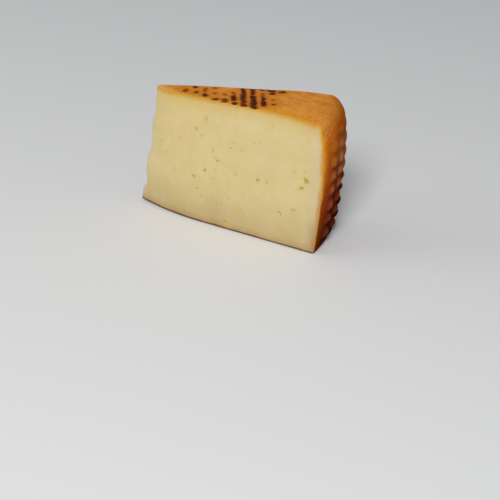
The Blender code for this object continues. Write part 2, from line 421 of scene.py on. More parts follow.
def wedgeGrid(tree, size):
    # One grid is wrapped round the wedge. Its columns go round the outline, from the thin edge along
    # the front cut, the rim, the back cut and the nose; its rows go from the middle of the base out
    # to its edge, up the side, over the shoulder and in to the middle of the top.
    frontEnd = size["front steps"]
    rimEnd = frontEnd + size["rim steps"]
    backEnd = rimEnd + size["back steps"]
    columns = backEnd + size["nose steps"]
    sideStart = size["base rows"]
    sideEnd = sideStart + size["side rows"]
    shoulderEnd = sideEnd + size["shoulder rows"]
    rows = shoulderEnd + size["top rows"]
    counts = {"Vertices X": columns + 1.0, "Vertices Y": rows + 1.0}
    grid = tree.node("GeometryNodeMeshGrid", {}, counts)
    column = floorOf(tree.node("GeometryNodeInputIndex") / (rows + 1.0))
    row = tree.node("GeometryNodeInputIndex") - column * (rows + 1.0)
    column = onPoints(tree, column)
    row = onPoints(tree, row)

    def eased(share, amount):  # closer steps at both ends
        return share - amount * sine(2.0 * math.pi * share) / (2.0 * math.pi)

    onFront = eased(within(column / size["front steps"]), 0.35)
    onRim = within((column - frontEnd) / size["rim steps"])
    onBack = eased(within((column - rimEnd) / size["back steps"]), 0.35)
    onNose = within((column - backEnd) / size["nose steps"])
    turn = onRim - onNose  # 0 at the front cut, 1 at the back cut
    onSide = eased(within((row - sideStart) / size["side rows"]), 0.5)
    onShoulder = smooth((row - sideEnd) / size["shoulder rows"])

    # The rind's radius and height at this row
    angle = onShoulder * (math.pi / 2.0)
    power = 2.0 / frontToBack(size, "shoulder power", turn)
    start = frontToBack(size, "shoulder start", turn)
    end = shoulderTop(size, turn)
    sideHeight = onSide * start
    height = sideHeight + (end - start) * sine(angle) ** power
    width = sideRadius(size, start) - frontToBack(size, "top radius", turn)
    clean = sideRadius(size, sideHeight) - width * (1.0 - atLeast(cosine(angle), 0.0) ** power)
    arc = turn * size["wedge angle"] * size["wheel radius"]
    strength = netStrength(size, arc, height)
    groove = netPattern(tree, size, arc, height) * strength
    depth = between(size["net depth low"], size["net depth high"], fade(height, 0.0, size["net fade height"]))
    radius = clean + strength * size["net swell"] - groove * depth

    # The four stretches of the outline in plan
    edgeX = thinEdgeX(size, height)
    startX = edgeX + size["thin edge rounding"]
    frontX = between(startX, radius, onFront)
    frontY = cutBend(size, frontX, height)
    rimX = radius * cosine(turn * size["wedge angle"])
    rimY = radius * sine(turn * size["wedge angle"])
    edgeY = size["cut bend"] + size["thin edge width"]
    kept = (1.0 - (clean - radius) / (clean - startX)) * (1.0 - onBack)
    backX = between(startX, clean * cosine(size["wedge angle"]), kept)
    backY = between(edgeY, clean * sine(size["wedge angle"]), kept)
    noseX = startX - size["thin edge rounding"] * sine(math.pi * onNose)
    noseY = between(edgeY, cutBend(size, startX, height), onNose)
    pastFront = column > frontEnd
    pastRim = column > rimEnd - 0.5
    pastBack = column > backEnd
    x = between(between(between(frontX, rimX, pastFront), backX, pastRim), noseX, pastBack)
    y = between(between(between(frontY, rimY, pastFront), backY, pastRim), noseY, pastBack)
    level = height / size["wheel height"]
    worn = tree.node("ShaderNodeFloatCurve", {"points": thinEdgeWear}, {"Value": level})
    wear = between(size["thin edge least wear"], size["thin edge most wear"], worn)
    x = x + wear * (1.0 - fade(x, edgeX, edgeX + size["thin edge wear reach"]))

    # The caps shrink the outline to one point, and height follows the dished top and the hollow base
    inward = within(row / sideStart) * within((rows - row) / size["top rows"])
    x = between(size["cap centre x"], x, inward)
    y = between(size["cap centre y"], y, inward)
    z = between(baseHeight(size, x, y), topHeight(size, x, y), height / end)
    place = tree.vector(x - size["axis to middle x"], y - size["axis to middle y"], z)
    shape = tree.node("GeometryNodeSetPosition", {}, {"Geometry": grid, "Position": place})
    shape = storeValue(tree, shape, "netGroove", groove)
    onCut = 1.0 - (column > frontEnd) * (column < rimEnd)
    onCut = onCut * (1.0 - (row < sideStart)) * (1.0 - (row > shoulderEnd))
    shape = storeValue(tree, shape, "rind", 1.0 - onCut, "FACE")
    return tree.node("GeometryNodeMergeByDistance", {}, {"Geometry": shape, "Distance": 1e-6})


def onPoints(tree, value):
    # A value worked out on the points, also where a face asks for it
    return tree.node("GeometryNodeFieldOnDomain", {"domain": "POINT"}, (value,))


def storeValue(tree, geometry, name, value, domain="POINT"):
    sockets = {"Geometry": geometry, "Name": name, "Value": value}
    return tree.node("GeometryNodeStoreNamedAttribute", {"data_type": "FLOAT", "domain": domain}, sockets)


def moved(tree, geometry, offset):
    return tree.node("GeometryNodeSetPosition", {}, {"Geometry": geometry, "Offset": offset})


def storedValue(tree, name, kind="FLOAT"):
    # Reads back what was stored on the geometry under this name
    return tree.node("GeometryNodeInputNamedAttribute", {"data_type": kind}, {"Name": name}, "Attribute")


def setMaterial(tree, geometry, material, selection=True):
    sockets = {"Geometry": geometry, "Selection": selection, "Material": material}
    return tree.node("GeometryNodeSetMaterial", {}, sockets)


def softenEdges(tree, size, shape):
    # Averages the points close to a sharp edge, which rounds it by about half a millimetre
    angle = tree.node("GeometryNodeInputMeshEdgeAngle")
    near = tree.node("GeometryNodeBlurAttribute", {"data_type": "FLOAT"}, {"Value": angle, "Iterations": 2})
    weight = fade(near, 0.03, 0.2)
    position = tree.node("GeometryNodeInputPosition")
    sockets = {"Value": position, "Iterations": size["edge softening steps"], "Weight": weight}
    softened = tree.node("GeometryNodeBlurAttribute", {"data_type": "FLOAT_VECTOR"}, sockets)
    return tree.node("GeometryNodeSetPosition", {}, {"Geometry": shape, "Position": softened})


def wheelPlace(tree, size, position):
    # Position measured from the wheel's axis: x, y, z and the distance from the axis
    parts = tree.node("ShaderNodeSeparateXYZ", {}, (position,))
    x = parts + size["axis to middle x"]
    y = parts.out("Y") + size["axis to middle y"]
    return x, y, parts.out("Z"), distanceOf(x, y)


def unevenSurface(tree, size, shape):
    position = tree.node("GeometryNodeInputPosition")
    normal = tree.node("GeometryNodeInputNormal")
    x, y, z, radius = wheelPlace(tree, size, position)
    rind = storedValue(tree, "rind")
    broad = tree.noise(position, size["wave scale"], 2.0) - 0.5
    blister = tree.noise(position, size["blister scale"], 2.0, 0.6) - 0.5
    # Blisters cluster on the shoulder, most of all by the front cut
    onShoulder = fade(radius, 0.079, 0.087) * fade(z, 0.046, 0.054)
    nearFront = between(0.35, 1.0, fade(y, 0.020, 0.006))
    blistered = blister * size["blister depth"] * onShoulder * nearFront
    nearEdge = 1.0 - fade(x, 0.004, 0.012)
    torn = tree.noise(position, size["thin edge scale"], 3.0, 0.6) - 0.5
    torn = torn * size["thin edge roughness"] * nearEdge
    arc = mathOf("ARCTAN2", math.atan2, y, x) * size["wheel radius"]
    lumps = (tree.noise(position, size["side lump scale"], 3.0, 0.6) - 0.5) * size["side lumps"]
    lumps = lumps * netStrength(size, arc, z) * fade(radius, 0.084, 0.088)
    onCut = broad * size["cut waviness"] * (1.0 - rind)
    onRind = (broad * size["rind waviness"] + blistered + lumps) * rind
    offGround = smooth(z / 0.0015)
    return moved(tree, shape, tree.scaled(normal, (onCut + onRind + torn) * offGround))


# Eyes on the front cut in millimetres: distance from the axis, height, width, height of the eye,
# tilt in degrees
frontEyes = (
    (87.0, 33.2, 2.2, 2.3, 20), (86.3, 34.2, 1.2, 1.8, 10), (86.4, 32.3, 1.3, 1.1, 0),
    (88.1, 32.6, 1.7, 1.0, 20), (84.9, 29.4, 1.8, 1.7, 10), (84.1, 28.9, 1.3, 1.0, 0),
    (63.7, 27.7, 1.9, 1.5, 0), (63.3, 29.0, 0.7, 1.0, 0), (67.4, 28.4, 0.7, 1.1, 30),
    (68.1, 27.6, 1.1, 1.4, 35), (37.4, 50.2, 1.2, 2.3, -15), (32.5, 44.5, 1.3, 1.7, 0),
    (35.3, 42.1, 0.9, 1.1, 0), (37.0, 25.8, 1.5, 1.6, 0), (31.4, 21.6, 1.7, 1.5, 0),
    (43.4, 32.0, 1.7, 1.2, -20), (42.3, 33.2, 0.7, 0.9, 0), (41.1, 35.9, 0.9, 1.9, 10),
    (49.8, 39.5, 1.5, 1.1, 15), (51.6, 42.3, 1.1, 0.9, 0), (55.3, 39.8, 1.5, 1.0, 20),
    (46.1, 11.9, 1.1, 0.9, 0), (41.6, 13.2, 1.2, 1.0, 0), (35.5, 13.0, 1.2, 1.0, 0),
    (28.1, 8.4, 1.1, 0.9, 0), (49.4, 15.7, 1.0, 0.8, 0), (12.7, 33.7, 1.0, 0.9, 0),
    (23.9, 37.7, 1.0, 0.9, 0), (16.4, 29.6, 0.9, 0.9, 0), (41.4, 22.7, 1.1, 0.8, 0),
    (52.7, 27.7, 1.4, 0.7, 40), (20.4, 21.3, 1.0, 0.8, 0), (14.9, 15.3, 0.9, 0.8, 0),
    (81.2, 36.3, 0.8, 0.7, 0), (86.0, 37.1, 0.9, 0.8, 0), (69.8, 53.9, 0.7, 0.6, 0),
    (61.6, 44.7, 0.9, 0.8, 0), (86.9, 51.7, 0.7, 0.6, 0), (84.6, 10.6, 0.9, 0.6, 0),
    (74.4, 4.9, 0.9, 0.6, 0), (51.6, 54.4, 0.7, 0.6, 0), (63.9, 45.6, 0.8, 0.7, 0),
    (42.6, 26.9, 1.3, 0.5, 40),
)

# Deeper slits, in the same terms
frontSlits = (
    (47.5, 3.7, 0.9, 1.8, 0), (48.5, 4.2, 1.7, 0.7, 10), (49.6, 3.1, 0.8, 2.3, -35),
    (74.6, 15.6, 1.7, 0.8, 10), (75.5, 14.8, 0.8, 1.7, 0), (81.7, 18.4, 2.4, 0.8, 5),
    (33.2, 16.2, 1.5, 0.7, -10),
)

# Each eye is cut by an uneven ball, whose thickness is a share of the eye's narrow side
eyeCut = {
    "layers": 5,  # eyes that overlap are cut one layer after another
    "clearance": 0.6,  # eyes closer than this share of their two sizes go in different layers
    "small thickness": 0.45,
    "large thickness": 0.75,
    "small below": 0.8,  # in millimetres
    "large above": 1.6,
    "slit deepening": 2.4,
}

# The back cut's eyes, drawn by lot, in millimetres
backEyes = {
    "seed": 7,
    "large columns": 5,
    "large rows": 2,
    "large sizes": (1.4, 2.6),
    "small count": 26,
    "small sizes": (0.7, 1.3),
    "distances": (30.0, 88.0),
    "heights": (10.0, 50.0),
    "tilts": (-0.6, 0.6),
}


def backCutPlace(along, height):
    # The point of the back cut at this distance from the axis, and the cut's heading, in metres
    edgeX = thinEdgeX(wedge, height) + wedge["thin edge rounding"]
    edgeY = wedge["cut bend"] + wedge["thin edge width"]
    rim = sideRadius(wedge, height)
    rimX = rim * math.cos(wedge["wedge angle"])
    rimY = rim * math.sin(wedge["wedge angle"])
    heading = math.atan2(rimY - edgeY, rimX - edgeX)
    x = along * math.cos(heading)
    return x, edgeY + (x - edgeX) * math.tan(heading), heading


def eyeDepth(wide, tall, share=1.0):
    # The ball's thickness, half of which goes in; small eyes are shallow dents
    narrow = min(wide, tall)
    large = fade(narrow, eyeCut["small below"], eyeCut["large above"])
    return share * narrow * between(eyeCut["small thickness"], eyeCut["large thickness"], large) / 1000.0


def eyeMarks():
    # A mesh of loose points, one at each eye, that carries each eye's size and turn
    places, sizes, turns = [], [], []
    for eyes, share in ((frontEyes, 1.0), (frontSlits, eyeCut["slit deepening"])):
        for along, height, wide, tall, tilt in eyes:
            x, z = along / 1000.0, height / 1000.0
            places.append((x, cutBend(wedge, x, z), z))
            sizes.append((wide / 1000.0, eyeDepth(wide, tall, share), tall / 1000.0))
            turns.append((0.0, math.radians(tilt), 0.0))
    draw = random.Random(backEyes["seed"])

    def drawSizes(name):
        return draw.uniform(*backEyes[name]), draw.uniform(*backEyes[name])

    drawn = []
    for row in range(backEyes["large rows"]):
        for column in range(backEyes["large columns"]):
            along = (column + draw.random()) / backEyes["large columns"]
            upward = (row + draw.random()) / backEyes["large rows"]
            drawn.append((along, upward, *drawSizes("large sizes")))
    for _ in range(backEyes["small count"]):
        drawn.append((draw.random(), draw.random(), *drawSizes("small sizes")))
    for along, upward, wide, tall in drawn:
        z = between(*backEyes["heights"], upward) / 1000.0
        x, y, heading = backCutPlace(between(*backEyes["distances"], along) / 1000.0, z)
        places.append((x, y, z))
        sizes.append((wide / 1000.0, eyeDepth(wide, tall), tall / 1000.0))
        turns.append((0.0, draw.uniform(*backEyes["tilts"]), heading))
    return makeMarks("eyeMarks", places, sizes, turns, layersOf(places, sizes))


# Where the hot rack touched the top, in millimetres: columns of dashes, the first by the thin edge
scorches = {
    "seed": 4,
    "rack turn": math.radians(31.0),
    "first column": 23.1,
    "column pitch": 4.13,
    "column drifts": (-0.2, 0.2),
    "dash pitch": 2.36,
    "narrowing": 0.6,  # taken off each width, because the scorch spreads past its disc
    "width shares": (0.85, 1.15),
    "least width": 0.2,
    "shortenings": (-0.1, 0.3),
    "least length": 0.15,
    "turns": (-0.25, 0.25),
    "lift": 1.0,  # how high a mark of no strength would float over the top
}

# For each column its scorches in millimetres: place along the column, width, length, strength
scorchColumns = (
    ((-7.4, 1.9, 3.4, 0.60),),
    ((-3.6, 1.7, 2.2, 0.95), (-9.6, 1.5, 2.6, 0.60)),
    ((-7.6, 1.3, 4.6, 0.58), (-13.6, 1.8, 3.4, 0.92)),
    ((-5.5, 1.5, 1.2, 0.50), (-11.8, 1.4, 1.2, 0.72), (-18.8, 2.4, 2.4, 0.75)),
    ((-13.4, 1.4, 2.6, 0.52), (-20.6, 2.5, 3.8, 0.70)),
    ((-11.0, 1.0, 1.5, 0.6), (-14.3, 0.8, 2.4, 0.65), (-17.9, 2.2, 5.4, 1.0), (-24.2, 1.9, 2.8, 0.85)),
    ((-9.8, 1.6, 5.8, 0.95), (-18.3, 2.5, 10.2, 1.0), (-25.9, 2.4, 4.2, 0.95)),
    ((-10.0, 2.0, 7.6, 0.95), (-19.0, 2.3, 7.6, 1.0), (-26.2, 2.7, 6.0, 1.0), (-30.3, 2.0, 1.8, 0.9)),
    ((-8.2, 1.9, 1.4, 0.9), (-13.7, 1.6, 1.9, 0.6), (-17.4, 1.2, 2.4, 0.65), (-23.4, 2.0, 9.2, 1.0)),
    ((-9.0, 3.3, 3.2, 0.95), (-12.7, 2.1, 2.2, 0.9), (-20.8, 0.6, 1.0, 0.5), (-26.0, 1.4, 1.7, 0.65)),
    ((-11.5, 3.6, 1.8, 0.8),),
)


def layersOf(places, sizes):
    # A layer number for each eye, so that no two eyes of one layer overlap
    layers = []
    for number, place in enumerate(places):
        reach = [eyeCut["clearance"] * (max(sizes[number]) + max(size)) for size in sizes]
        taken = {layers[other] for other in range(number) if math.dist(place, places[other]) < reach[other]}
        layers.append(min(set(range(eyeCut["layers"])) - taken))
    return layers


def makeMarks(name, places, sizes, turns, layers=None):
    # A mesh of loose points that carry the size, turn and layer of what is put there
    middle = (wedge["axis to middle x"], wedge["axis to middle y"])
    mesh = bpy.data.meshes.new(name)
    mesh.from_pydata([(x - middle[0], y - middle[1], z) for x, y, z in places], [], [])
    for attributeName, rows in (("markSize", sizes), ("markTurn", turns)):
        values = mesh.attributes.new(attributeName, "FLOAT_VECTOR", "POINT")
        values.data.foreach_set("vector", [number for row in rows for number in row])
    if layers:
        mesh.attributes.new("markLayer", "INT", "POINT").data.foreach_set("value", layers)
    return addObject(name, mesh)


def scorchMarks():
    # Long scorches are split into dashes; a weaker one floats above the surface, so it reaches it less
    draw = random.Random(scorches["seed"])
    turn = scorches["rack turn"]
    places, sizes, turns = [], [], []
    for number, column in enumerate(scorchColumns):
        for middle, width, length, strength in column:
            count = max(1, round(length / scorches["dash pitch"]))
            for step in range(count):
                across = scorches["first column"] + number * scorches["column pitch"]
                across = across + draw.uniform(*scorches["column drifts"])
                along = middle + length * ((step + 0.5) / count - 0.5)
                x = (across * math.cos(turn) - along * math.sin(turn)) / 1000.0
                y = (across * math.sin(turn) + along * math.cos(turn)) / 1000.0
                lift = (1.0 - strength) * scorches["lift"] / 1000.0
                places.append((x, y, topHeight(wedge, x, y) + lift))
                wide = max(width - scorches["narrowing"], scorches["least width"])
                wide = wide * draw.uniform(*scorches["width shares"])
                long = max(length / count - draw.uniform(*scorches["shortenings"]), scorches["least length"])
                sizes.append((wide / 1000.0, long / 1000.0, 0.001))
                turns.append((0.0, 0.0, turn + draw.uniform(*scorches["turns"])))
    return makeMarks("scorchMarks", places, sizes, turns)


def markPoints(tree, marks):
    settings = {"transform_space": "ORIGINAL"}
    loose = tree.node("GeometryNodeObjectInfo", settings, {"Object": marks}, "Geometry")
    return tree.node("GeometryNodeMeshToPoints", {}, {"Mesh": loose})


def distanceTo(tree, geometry, element):
    settings = {"target_element": element}
    return tree.node("GeometryNodeProximity", settings, {"Geometry": geometry}, "Distance")


def placeOnMarks(tree, points, thing):
    # Puts the thing at every mark, with that mark's size and turn
    size = storedValue(tree, "markSize", "FLOAT_VECTOR")
    turn = tree.node("FunctionNodeEulerToRotation", {}, (storedValue(tree, "markTurn", "FLOAT_VECTOR"),))
    sockets = {"Points": points, "Instance": thing, "Rotation": turn, "Scale": size}
    placed = tree.node("GeometryNodeInstanceOnPoints", {}, sockets)
    return tree.node("GeometryNodeRealizeInstances", {}, (placed,))


def pressScorches(tree, size, shape, marks):
    # A disc lies at every scorch mark; the rind is scorched, and a little sunk, close to a disc
    disc = tree.node("GeometryNodeMeshCircle", {"fill_type": "NGON"}, {"Vertices": 14, "Radius": 0.5})
    discs = placeOnMarks(tree, markPoints(tree, marks), disc)
    distance = distanceTo(tree, discs, "FACES")
    shape = storeValue(tree, shape, "scorch", 1.0 - within(distance / size["scorch reach"]))
    sunk = tree.vector(0.0, 0.0, -size["scorch depth"] * fade(storedValue(tree, "scorch"), 0.87, 0.97))
    return moved(tree, shape, sunk)


def cutEyes(tree, size, shape, marks, paste):
    # An uneven ball is placed at every mark and taken away from the wedge
    points = markPoints(tree, marks)
    ball = tree.node("GeometryNodeMeshIcoSphere", {}, {"Radius": 0.5, "Subdivisions": 3})
    ball = storeValue(tree, ball, "pit", 1.0, "FACE")
    distance = distanceTo(tree, points, "POINTS")
    far = fade(distance, size["eye halo start"], size["eye halo end"])
    shape = storeValue(tree, shape, "nearEye", 1.0 - far)
    shape = setMaterial(tree, shape, paste)
    layer = storedValue(tree, "markLayer", "INT")
    position = tree.node("GeometryNodeInputPosition")
    push = tree.noise(position, size["eye roughness scale"], 2.0, 0.5, "Color")
    push = tree.scaled(tree.vectorMath("SUBTRACT", push, (0.5, 0.5, 0.5)), size["eye roughness"])
    for number in range(eyeCut["layers"]):
        sockets = {"Geometry": points, "Selection": abs(layer - number) < 0.5}
        own = tree.node("GeometryNodeSeparateGeometry", {"domain": "POINT"}, sockets)
        balls = moved(tree, placeOnMarks(tree, own, ball), push)
        balls = setMaterial(tree, balls, paste)
        settings = {"operation": "DIFFERENCE", "solver": "MANIFOLD"}
        shape = tree.node("GeometryNodeMeshBoolean", settings, (shape, balls))
    return shape


def dropEmptySlots(mesh):
    # The boolean leaves a first slot that no face uses
    kept = [number for number, material in enumerate(mesh.materials) if material]
    places = [0] * len(mesh.polygons)
    mesh.polygons.foreach_get("material_index", places)
    materials = [mesh.materials[number] for number in kept]
    mesh.materials.clear()
    for material in materials:
        mesh.materials.append(material)
    mesh.polygons.foreach_set("material_index", [kept.index(place) for place in places])


def makeWedge(paste, rind):
    sizes = {**wedge, **net, **relief}
    nodeTree = bpy.data.node_groups.new("cheeseWedge", "GeometryNodeTree")
    tree = Tree(nodeTree)
    nodeTree.interface.new_socket("Geometry", in_out="OUTPUT", socket_type="NodeSocketGeometry")
    size = tree.sizeInputs(sizes)
    marks = {"eye marks": eyeMarks(), "scorch marks": scorchMarks()}
    for name in marks:
        nodeTree.interface.new_socket(name, in_out="INPUT", socket_type="NodeSocketObject")
    eyes, scorched = [Sock(tree, tree.nodes["Group Input"].outputs[name]) for name in marks]
    shape = wedgeGrid(tree, size)
    shape = softenEdges(tree, size, shape)
    shape = unevenSurface(tree, size, shape)
    shape = pressScorches(tree, size, shape, scorched)
    shape = cutEyes(tree, size, shape, eyes, paste)
    shape = tree.node("GeometryNodeSetShadeSmooth", {}, {"Geometry": shape, "Shade Smooth": True})
    shape = tree.node("GeometryNodeRealizeInstances", {}, (shape,))
    shape = setMaterial(tree, shape, paste)
    shape = setMaterial(tree, shape, rind, storedValue(tree, "rind") > 0.5)
    output = tree.nodes.new("NodeGroupOutput")
    tree.links.new(shape.socket, output.inputs[0])

    holder = addObject("wedgeHolder", bpy.data.meshes.new("wedgeHolder"))
    modifier = holder.modifiers.new("cheeseWedge", "NODES")
    modifier.node_group = nodeTree
    values = {**sizes, **marks}
    for item in nodeTree.interface.items_tree:
        if item.in_out == "INPUT":
            modifier[item.identifier] = values[item.name]
    evaluated = holder.evaluated_get(bpy.context.evaluated_depsgraph_get())
    mesh = bpy.data.meshes.new_from_object(evaluated)
    for helper in (holder, *marks.values()):
        bpy.data.objects.remove(helper)
    dropEmptySlots(mesh)
    mesh.name = "smokedCheeseWedge"
    return addObject("smokedCheeseWedge", mesh)


def fitToPart(piece):
    # Shrinks the piece by the last hundredths of a millimetre that would stand out of the part's box
    xs, ys, zs = zip(*(vertex.co for vertex in piece.data.vertices))
    low = Vector((min(xs), min(ys), min(zs)))
    high = Vector((max(xs), max(ys), max(zs)))
    print("wedge before fitting", millimetres((low, high)), "mm")
    middle = (low + high) / 2.0
    goal = (partBox[0] + partBox[1]) / 2.0
    share = Vector([min(1.0, part / own) for part, own in zip(partBox[1] - partBox[0], high - low)])
    goal.z = partBox[0].z + share.z * (high.z - low.z) / 2.0
    fitted = Matrix.Translation(goal) @ Matrix.Diagonal(share.to_4d()) @ Matrix.Translation(-middle)
    piece.data.transform(fitted)


# Materials

pasteLook = {
    "heart": (0.66, 0.535, 0.255, 1.0),
    "upper left": (0.66, 0.52, 0.23, 1.0),
    # Darker and browner towards the bottom: partly the paste's colour, partly painted shade
    "lower": (0.52, 0.4, 0.19, 1.0),
    "by the rim": (0.64, 0.51, 0.285, 1.0),
    # Painted shade in the lower corner by the rim
    "low corner shade": (0.39, 0.265, 0.13, 1.0),
    "thin edge": (0.545, 0.49, 0.37, 1.0),
    "under the rind": (0.62, 0.375, 0.09, 1.0),
    "under the tip": (0.62, 0.44, 0.1, 1.0),
    "top line": (0.58, 0.29, 0.035, 1.0),
    "inside the rim": (0.6, 0.43, 0.15, 1.0),
    # Painted shade by the rim, low down
    "inside the low rim shade": (0.4, 0.23, 0.08, 1.0),
    "above the base": (0.42, 0.26, 0.1, 1.0),
    "rim line": (0.56, 0.26, 0.04, 1.0),
    # The bottom rind seen in the cut, with a painted contact shadow
    "base line and shadow": (0.11, 0.048, 0.013, 1.0),
    "eye": (0.58, 0.44, 0.13, 1.0),
    # Painted shade in the depth of the eyes
    "deep eye shade": (0.52, 0.34, 0.065, 1.0),
    "eye halo": (0.62, 0.49, 0.17, 1.0),
    "patch pale": (1.06, 1.05, 1.12, 1.0),
    "patch deep": (0.92, 0.925, 0.86, 1.0),
    "roughness": 0.48,
    "gloss": 0.25,
    "refraction": 1.42,
    "softness": 0.15,  # how much light goes under the surface, how far by colour, and its scale
    "softness reach": (1.0, 0.55, 0.2),
    "softness scale": 0.002,
    "bump strength": 0.35,
    "bump distance": 0.0004,
}

rindLook = {
    "top": (0.64, 0.22, 0.03, 1.0),
    "top pale": (0.85, 0.38, 0.066, 1.0),
    "front glow": (0.79, 0.3, 0.02, 1.0),
    "front edge": (0.86, 0.42, 0.028, 1.0),
    "tip edge": (0.85, 0.51, 0.11, 1.0),
    "near scorch": (0.61, 0.195, 0.022, 1.0),
    "scorch": (0.045, 0.015, 0.01, 1.0),
    "scorch red": (0.13, 0.022, 0.008, 1.0),
    "scorch rim": (0.35, 0.088, 0.012, 1.0),
    # Up the side, as shares of the wheel's height: close to the front cut, and further round. Darker towards
    # the bottom, partly the rind's own colour and partly painted shade
    "side front": (
        (0.05, (0.18, 0.03, 0.002, 1.0)), (0.25, (0.32, 0.048, 0.002, 1.0)),
        (0.44, (0.45, 0.075, 0.002, 1.0)), (0.58, (0.66, 0.165, 0.004, 1.0)),
        (0.73, (0.9, 0.27, 0.008, 1.0)), (0.90, (0.95, 0.33, 0.014, 1.0)),
    ),
    "side round": (
        (0.05, (0.135, 0.024, 0.008, 1.0)), (0.25, (0.3, 0.05, 0.015, 1.0)),
        (0.44, (0.43, 0.088, 0.018, 1.0)), (0.60, (0.54, 0.135, 0.018, 1.0)),
        (0.73, (0.62, 0.155, 0.014, 1.0)), (0.90, (0.7, 0.185, 0.014, 1.0)),
    ),
    "cut edge": (
        (0.10, (0.34, 0.075, 0.01, 1.0)), (0.30, (0.45, 0.13, 0.013, 1.0)),
        (0.40, (0.64, 0.22, 0.03, 1.0)), (0.44, (0.86, 0.43, 0.11, 1.0)),
        (0.49, (0.8, 0.32, 0.045, 1.0)), (0.75, (0.92, 0.44, 0.04, 1.0)),
    ),
    # Painted shade: the side darkens further round, away from the light
    "far side shade": (0.78, 0.7, 0.7, 1.0),
    "farthest side shade": (0.33, 0.23, 0.25, 1.0),
    # Grooves darker: partly the smoke's colour, partly painted shade
    "groove": (0.43, 0.33, 0.5, 1.0),
    # Painted highlights: knob tops lighter, and tan on their crests where the light catches them
    "knob": (1.2, 1.3, 1.5, 1.0),
    "knob crest highlight": (0.58, 0.22, 0.055, 1.0),
    "highSheen": (0.6, 0.23, 0.078, 1.0),  # painted sheen high on the side, away from the front cut
    # Painted highlight for the blisters' crests
    "blister": (0.92, 0.43, 0.12, 1.0),
    "mottle deep": (0.8, 0.77, 0.75, 1.0),
    "mottle pale": (1.18, 1.21, 1.25, 1.0),
    "base": (0.085, 0.024, 0.007, 1.0),
    "roughness": 0.46,
    "gloss": 0.0,
    "refraction": 1.45,
    "blister wax": 0.20,
    "wax roughness": 0.30,
    "bump strength": 0.5,
    "bump distance": 0.0005,
}


def newMaterial(name):
    material = bpy.data.materials.new(name)
    material.use_nodes = True
    tree = Tree(material.node_tree)
    return material, tree, tree.nodes["Principled BSDF"]


def attribute(tree, name):
    return tree.node("ShaderNodeAttribute", {"attribute_name": name}, (), "Fac")


def bumped(tree, look, height):
    sockets = {"Strength": look["bump strength"], "Distance": look["bump distance"], "Height": height}
    return tree.node("ShaderNodeBump", {}, sockets)


def rampOf(tree, stops, value):
    return tree.node("ShaderNodeValToRGB", {"stops": stops}, (value,))


def makePaste():
    look = pasteLook
    material, tree, shader = newMaterial("smokedTrappistPaste")
    position = tree.node("ShaderNodeTexCoord", {}, (), "Object")
    x, y, z, radius = wheelPlace(tree, wedge, position)
    cloud = tree.noise(position, 60.0, 3.0, 0.55) - 0.5
    grain = tree.noise(position, 420.0, 3.0, 0.6) - 0.5
    patch = tree.noise(position, 190.0, 2.0, 0.5) - 0.5
    wandering = cloud * 0.003 + grain * 0.0008
    belowTop = topHeight(wedge, x, y) - z + wandering
    insideRim = sideRadius(wedge, z) - radius + wandering
    fromEdge = x - thinEdgeX(wedge, z) + wandering
    aboveBase = z - baseHeight(wedge, x, y)

    colour = tree.layered(
        look["heart"],
        (fade(x + cloud * 0.03, 0.05, 0.015) * fade(z, 0.02, 0.05), look["upper left"]),
        # Darker and browner towards the bottom: partly the paste's colour, partly painted shade
        (fade(z + cloud * 0.01, 0.024, 0.0), look["lower"]),
        (fade(insideRim + cloud * 0.006, 0.010, 0.001) * 0.85, look["by the rim"]),
        # Painted shade in the lower corner by the rim
        (fade(insideRim + cloud * 0.004, 0.0075, 0.001) * fade(z, 0.024, 0.002), look["low corner shade"]),
    )
    patchShare = within(0.5 + cloud * 0.9 + patch * 0.9 + grain * 0.5)
    colour = tree.tinted(colour, tree.mixColour(patchShare, look["patch deep"], look["patch pale"]))

    # The smoke's colour goes deepest near the thin edge, where the wheel's middle has sagged
    smoked = 1.0 - within(belowTop / 0.009)
    tip = fade(x, 0.050, 0.012)
    smokedLook = tree.mixColour(tip, look["under the rind"], look["under the tip"])
    # Low down, the colour by the rim is painted shade
    insideLook = tree.mixColour(fade(z, 0.036, 0.022), look["inside the rim"], look["inside the low rim shade"])
    halo = attribute(tree, "nearEye") * within(0.75 + cloud * 1.5)
    pit = attribute(tree, "pit")
    deep = fade(y - cutBend(wedge, x, z), 0.0003, 0.0008)
    speck = fade(tree.noise(position, 900.0, 1.0), 0.70, 0.78)
    colour = tree.layered(
        colour,
        (fade(fromEdge, 0.0024, 0.0006) * 0.8, look["thin edge"]),
        (smoked * smoked * between(0.8, 1.0, tip), smokedLook),
        (fade(belowTop, 0.0020, 0.0) * 0.8, look["top line"]),
        (fade(insideRim, 0.0026, 0.0003) * 0.75, insideLook),
        (fade(insideRim, 0.0014, 0.0) * 0.85, look["rim line"]),
        (fade(aboveBase + wandering, 0.0048, 0.0006) * 0.6, look["above the base"]),
        # The bottom rind seen in the cut, with a painted contact shadow
        (fade(aboveBase + wandering * 0.4, 0.0013, 0.0007) * 0.9, look["base line and shadow"]),
        (halo * 0.55, look["eye halo"]),
        (pit * 0.85, look["eye"]),
        # Painted shade in the depth of each eye
        (pit * deep * 0.9, look["deep eye shade"]),
        (speck * 0.35, look["eye"]),
    )

    fine = tree.noise(position, 1500.0, 3.0, 0.6)
    soft = tree.noise(position, 260.0, 3.0, 0.55)
    tree.fill(shader, {
        "Base Color": colour,
        "Normal": bumped(tree, look, fine * 0.35 + soft),
        "Roughness": look["roughness"] + grain * 0.2 + cloud * 0.1,
        "IOR": look["refraction"],
        "Specular IOR Level": look["gloss"],
        "Subsurface Weight": look["softness"],
        "Subsurface Radius": look["softness reach"],
        "Subsurface Scale": look["softness scale"],
    })
    return material


